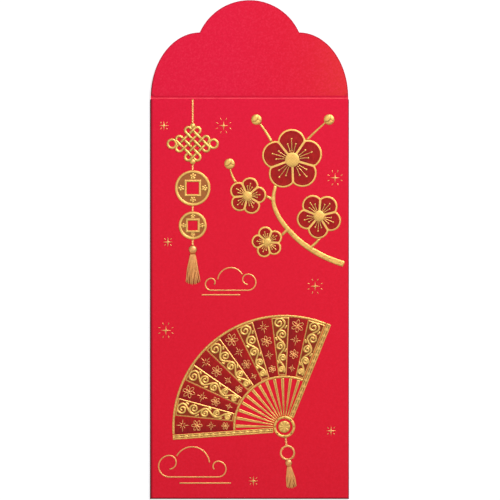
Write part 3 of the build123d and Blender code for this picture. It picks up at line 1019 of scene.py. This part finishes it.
# Coins with a square hole, raised rims and a small flower of beads on each side of the hole
coin_height, coin_edge, coin_spacing = 0.12, 0.34, 0.17
coin_rim, hole_rim, rim_run, rim_height, flower_height = 1.15, 1.0, 0.25, 0.17, 0.2
hole_share, flower_place_share = 0.34, 0.655
heart_share, leaf_place_share, leaf_share = 0.055, 0.115, 0.062
for name in ("upper_coin", "lower_coin"):
    middle, coin_half = middle_half(name)
    radius = coin_half[0]
    half = hole_share * radius
    hole = middle + half * np.array([(-1, -1), (-1, 1), (1, 1), (1, -1)])
    points, faces, depth = filled([circle(middle, radius, 96), hole], coin_spacing, soft_edge)
    beads = []
    for quarter in range(4):
        spot = middle + flower_place_share * radius * heading(quarter * TURN / 4)
        beads.append((spot, heart_share * radius))
        for leaf in range(5):
            aim = quarter * TURN / 4 + leaf * TURN / 5
            beads.append((spot + leaf_place_share * radius * heading(aim), leaf_share * radius))
    raised = np.zeros(len(points))
    for spot, size in beads:
        raised = np.maximum(raised, flower_height * dome(np.hypot(*(points - spot).T) / size))
    reach = np.hypot(*(points - middle).T)
    square = np.abs(points - middle).max(1)
    rims = ease(reach, radius - coin_rim, rim_run) + ease(half + hole_rim - square, 0, rim_run)
    level = np.maximum(raised, rim_height * held(rims))
    coin = Stock()
    coin.block(points, faces, rounded(depth, coin_edge, coin_height + level), 0.8 * fade(level, 0.1))
    coin.piece(name + "_foil", GOLD, name)

# Knot: two crossing sets of loops, each strand over and under in turn, with ears and beads
pitch, strand, strand_height, weave, weave_run = 2.7, 1.12, 0.3, 0.13, 0.8
ear, ear_overlap, ear_inset, ear_base = 2.4, 1.2, 0.6, 0.06
ball, ball_height = 1.3, 0.55
knot_middle = middle_half("woven_knot")[0]
knot = Stock()
half_run = 2 * pitch
for tilt in (TURN / 8, TURN * 3 / 8):
    run, cross = heading(tilt), heading(tilt + TURN / 4)
    for aside in (-pitch, pitch):
        line, base = [], []
        for side in (-1, 1):
            offset = aside + side * pitch / 2
            index = round((offset + 1.5 * pitch) / pitch)
            far = np.linspace(-half_run, half_run, 41)[:-1] * -side
            wave = np.cos(math.pi * (far - pitch / 2) / pitch) * (-1) ** index
            line.append(knot_middle + far[:, None] * run + offset * cross)
            base.append(weave + weave * wave * np.minimum(1, (half_run - np.abs(far)) / weave_run))
            bend = np.linspace(0, math.pi, 13)[:-1]
            far = -side * (half_run + pitch / 2 * np.sin(bend))
            over = aside + side * pitch / 2 * np.cos(bend)
            line.append(knot_middle + far[:, None] * run + over[:, None] * cross)
            base.append(np.full(len(bend), weave))
        line, base = np.concatenate(line), np.concatenate(base)
        # Painted shade: each strand is darker where it dips low, under the other set
        knot.bead(line, strand, strand_height, closed=True, base=base, hollow=0.75 * fade(base, weave))
corner = 2 * pitch * 2**0.5
for side in (-1, 1):
    spot = knot_middle + np.array([side * (corner + ear - ear_overlap), 0])
    knot.bead(circle(spot, ear - ear_inset, 40), strand, strand_height, closed=True, base=ear_base)
    knot.dot(knot_middle + np.array([0, side * corner]), ball, ball_height)
knot.piece("knot_foil", GOLD, "woven_knot")


def twisted(stock, top, bottom, width):
    """Cord of two strands twisted round each other."""
    lay, point_step, strand_height, rise = 2.2, 0.12, 0.16, 0.05
    aside_share, strand_share = 0.24, 0.56
    run = np.asarray(bottom) - np.asarray(top)
    length = np.hypot(*run)
    side = left_of(run) / length
    share = np.linspace(0, 1, max(8, int(length / point_step)))
    for phase in (0, math.pi):
        twist = share * length * TURN / lay + phase
        aside = aside_share * width * np.sin(twist)
        line = np.asarray(top) + share[:, None] * run + aside[:, None] * side
        stock.bead(line, strand_share * width, strand_height, base=rise + rise * np.cos(twist))


def tassel(stock, top, down, head, length, width, strands):
    """Bound head, collar and a skirt of wavy strands."""
    head_height, collar_width, collar_height, collar_base = 0.5, 0.42, 0.3, 0.12
    strand_width, strand_height, strand_base, strand_rise = 0.46, 0.2, 0.06, 0.05
    wave_size, uneven_size = 0.16, 0.12
    down = np.asarray(down, float)
    side = left_of(down)
    stock.dot(top + head * down, head * 0.97, head_height)
    neck = top + 2 * head * down
    collar_shares = np.linspace(-0.62, 0.62, 7)
    for level_share in (-0.28, 0.1):
        line = neck + collar_shares[:, None] * head * side + level_share * head * down
        stock.bead(line, collar_width, collar_height, base=collar_base)
    share = np.linspace(0, 1, 24)
    bound = 0.42 * head
    for number in range(strands):
        place = 2 * number / (strands - 1) - 1
        wide = place * (bound + (width / 2 - bound) * share**0.75)
        wave = wave_size * np.sin(share * 9 + number * 1.9) * share
        reach = length * (1.0 + 0.10 * (1 - place**2)) + uneven_size * (number % 3)
        line = neck + (share * reach)[:, None] * down + (wide + wave)[:, None] * side
        base = strand_base + strand_rise * (number % 2)
        stock.bead(line, strand_width, strand_height, base=base, tips=0.3)


def backing(stock, node, height, shade):
    """Low dark ground under a piece, over the outlines of its CAD node."""
    spacing, rim = 0.4, 0.2
    for loops in cad_shapes(node):
        points, faces, depth = filled(loops, spacing, rim)
        stock.block(points, faces, rounded(depth, rim, height), np.full(len(points), shade))


# Cords and tassel of the hanging string
cords = Stock()
for loops in cad_shapes("string_cords"):
    low, high = loops[0].min(0), loops[0].max(0)
    x = (low[0] + high[0]) / 2
    twisted(cords, (x, high[1]), (x, low[1]), high[0] - low[0])
cords.piece("string_cord_foil", ROSE_GOLD, "string_cords")

string_tassel = Stock()
backing(string_tassel, "string_tassel", height=0.07, shade=0.95)
middle, half = middle_half("string_tassel")
tassel_top = middle + half * (0, 1)
tassel(string_tassel, tassel_top, (0, -1), head=1.8, length=12.0, width=6.0, strands=11)
string_tassel.piece("string_tassel_foil", ROSE_GOLD, "string_tassel")

# Pendant of the fan, leaning a little: cord, ring with four notches, and tassel
lean = math.radians(7)
cord_length, cord_width, cord_gap, cord_overlap = 3.2, 0.9, 0.08, 0.1
ring_outer, ring_radius, ring_width, ring_height = 3.3, 2.85, 0.9, 0.3
notch_half, notch_width, notch_height = 0.55, 0.5, 0.4
tassel_overlap = 0.45
down = np.array([math.sin(lean), -math.cos(lean)])
pendant = Stock()
backing(pendant, "fan_pendant", height=0.05, shade=0.9)
cord_end = hub_radius + cord_length
cord_top = pivot + (hub_radius + cord_gap) * down
twisted(pendant, cord_top, pivot + (cord_end + cord_overlap) * down, cord_width)
ring_middle = pivot + (cord_end + ring_outer) * down
pendant.bead(circle(ring_middle, ring_radius, 48), ring_width, ring_height, closed=True)
for notch in range(4):
    aim = heading(lean + notch * TURN / 4 + TURN / 8)
    line = [ring_middle + (ring_radius + step * notch_half) * aim for step in (-1, 0, 1)]
    pendant.bead(line, notch_width, notch_height)
tassel_top = pivot + (cord_end + 2 * ring_outer - tassel_overlap) * down
tassel(pendant, tassel_top, down, head=1.5, length=8.5, width=4.4, strands=9)
pendant.piece("fan_pendant_foil", ROSE_GOLD, "fan_pendant")

# Four-pointed sparkles, each with short strokes between or beyond its points
spark_height, spark_edge, spark_spacing = 0.22, 0.4, 0.2
stroke_width, stroke_height = 0.36, 0.15
sparks = Stock()
for number, loops in enumerate(cad_shapes("sparkles")):
    points, faces, depth = filled(loops, spark_spacing, soft_edge)
    middle = middle_of(loops[0])
    size = np.ptp(loops[0], 0).max() / 2
    sparks.block(points, faces, rounded(depth, spark_edge, spark_height))
    between = number % 2 == 0
    for ray in range(8):
        if between and ray % 2 == 0:
            continue
        aim = ray * TURN / 8 + (0 if between else TURN / 16)
        stroke_shares = (0.62, 1.02) if between else (1.15, 1.6)
        line = middle + size * np.linspace(*stroke_shares, 4)[:, None] * heading(aim)
        sparks.bead(line, stroke_width, stroke_height, tips=0.4)
sparks.piece("sparkle_foil", ROSE_GOLD, "sparkles")

# Floor, in metres, just under the envelope
floor_half = 3.0
floor_gap = 0.1 * MM
floor_corners = [(x * floor_half, y * floor_half, 0) for x, y in ((-1, -1), (1, -1), (1, 1), (-1, 1))]
floor_mesh = bpy.data.meshes.new("floor")
floor_mesh.from_pydata(floor_corners, [], [(0, 1, 2, 3)])
floor = placed("floor", floor_mesh)
floor.location.z = -floor_gap
material, tree, shader = new_material("floor")
colour = ramp(tree, noise(tree, 3.0), ((0.3, (0.34, 0.34, 0.35)), (0.7, (0.36, 0.36, 0.37))))
tree.links.new(colour, shader.inputs["Base Color"])
set_values(shader, Roughness=0.9, Specular_IOR_Level=0.0)
set_values(shader, Emission_Color=(1.0, 1.0, 1.0, 1.0), Emission_Strength=0.69)
floor_mesh.materials.append(material)


def area_light(name, place, size, power, colour):
    """Square soft light aimed at the middle of the envelope, with its place and size in metres."""
    light = bpy.data.lights.new(name, "AREA")
    light.size = size
    light.energy = power
    light.color = colour
    lamp = placed(name, light)
    lamp.location = place
    lamp.rotation_mode = "QUATERNION"
    lamp.rotation_quaternion = (-Vector(place)).to_track_quat("-Z", "Y")


# Name, place, size, power and colour of each light
lights = (
    ("key", (0.42, 0.62, 0.70), 0.30, 9.0, (0.99, 0.985, 1.20)),
    ("overhead", (0.0, 0.30, 1.70), 1.0, 3.1, (0.97, 0.985, 1.0)),
    ("fill", (-0.9, -0.5, 1.0), 0.9, 2.2, (1.0, 0.98, 0.86)),
    ("card", (0.95, -0.95, 0.38), 0.8, 0.9, (1.0, 1.0, 1.0)),
)
for row in lights:
    area_light(*row)

# Studio round the floor, brighter at the horizon and overhead than between
sky_shades = ((0.0, 0.84), (0.12, 0.84), (0.26, 0.27), (0.75, 0.40), (1.0, 0.60))
sky_stops = [(height, grey(shade)) for height, shade in sky_shades]
world = bpy.data.worlds.new("studio")
world.use_nodes = True
bpy.context.scene.world = world
sky = world.node_tree
background = sky.nodes["Background"]
sky.links.new(ramp(sky, place_of(sky, "Generated")[2], sky_stops), background.inputs["Color"])
set_values(background, Strength=1.0)

# Camera straight over the front: width that it sees, and its place from the middle and the crease
view_width = 213.55
camera_right, camera_below_crease = 0.23, 65.13
camera_data = bpy.data.cameras.new("camera")
camera_data.lens = 200.0
camera_data.sensor_width = 36.0
camera_data.clip_start, camera_data.clip_end = 0.05, 20.0
camera = placed("camera", camera_data)
distance = view_width * camera_data.lens / camera_data.sensor_width + sheet_z
camera.location = (camera_right * MM, (crease_y - camera_below_crease) * MM, distance * MM)
bpy.context.scene.camera = camera
view = bpy.context.scene.view_settings
view.view_transform = "Standard"
view.look = "None"
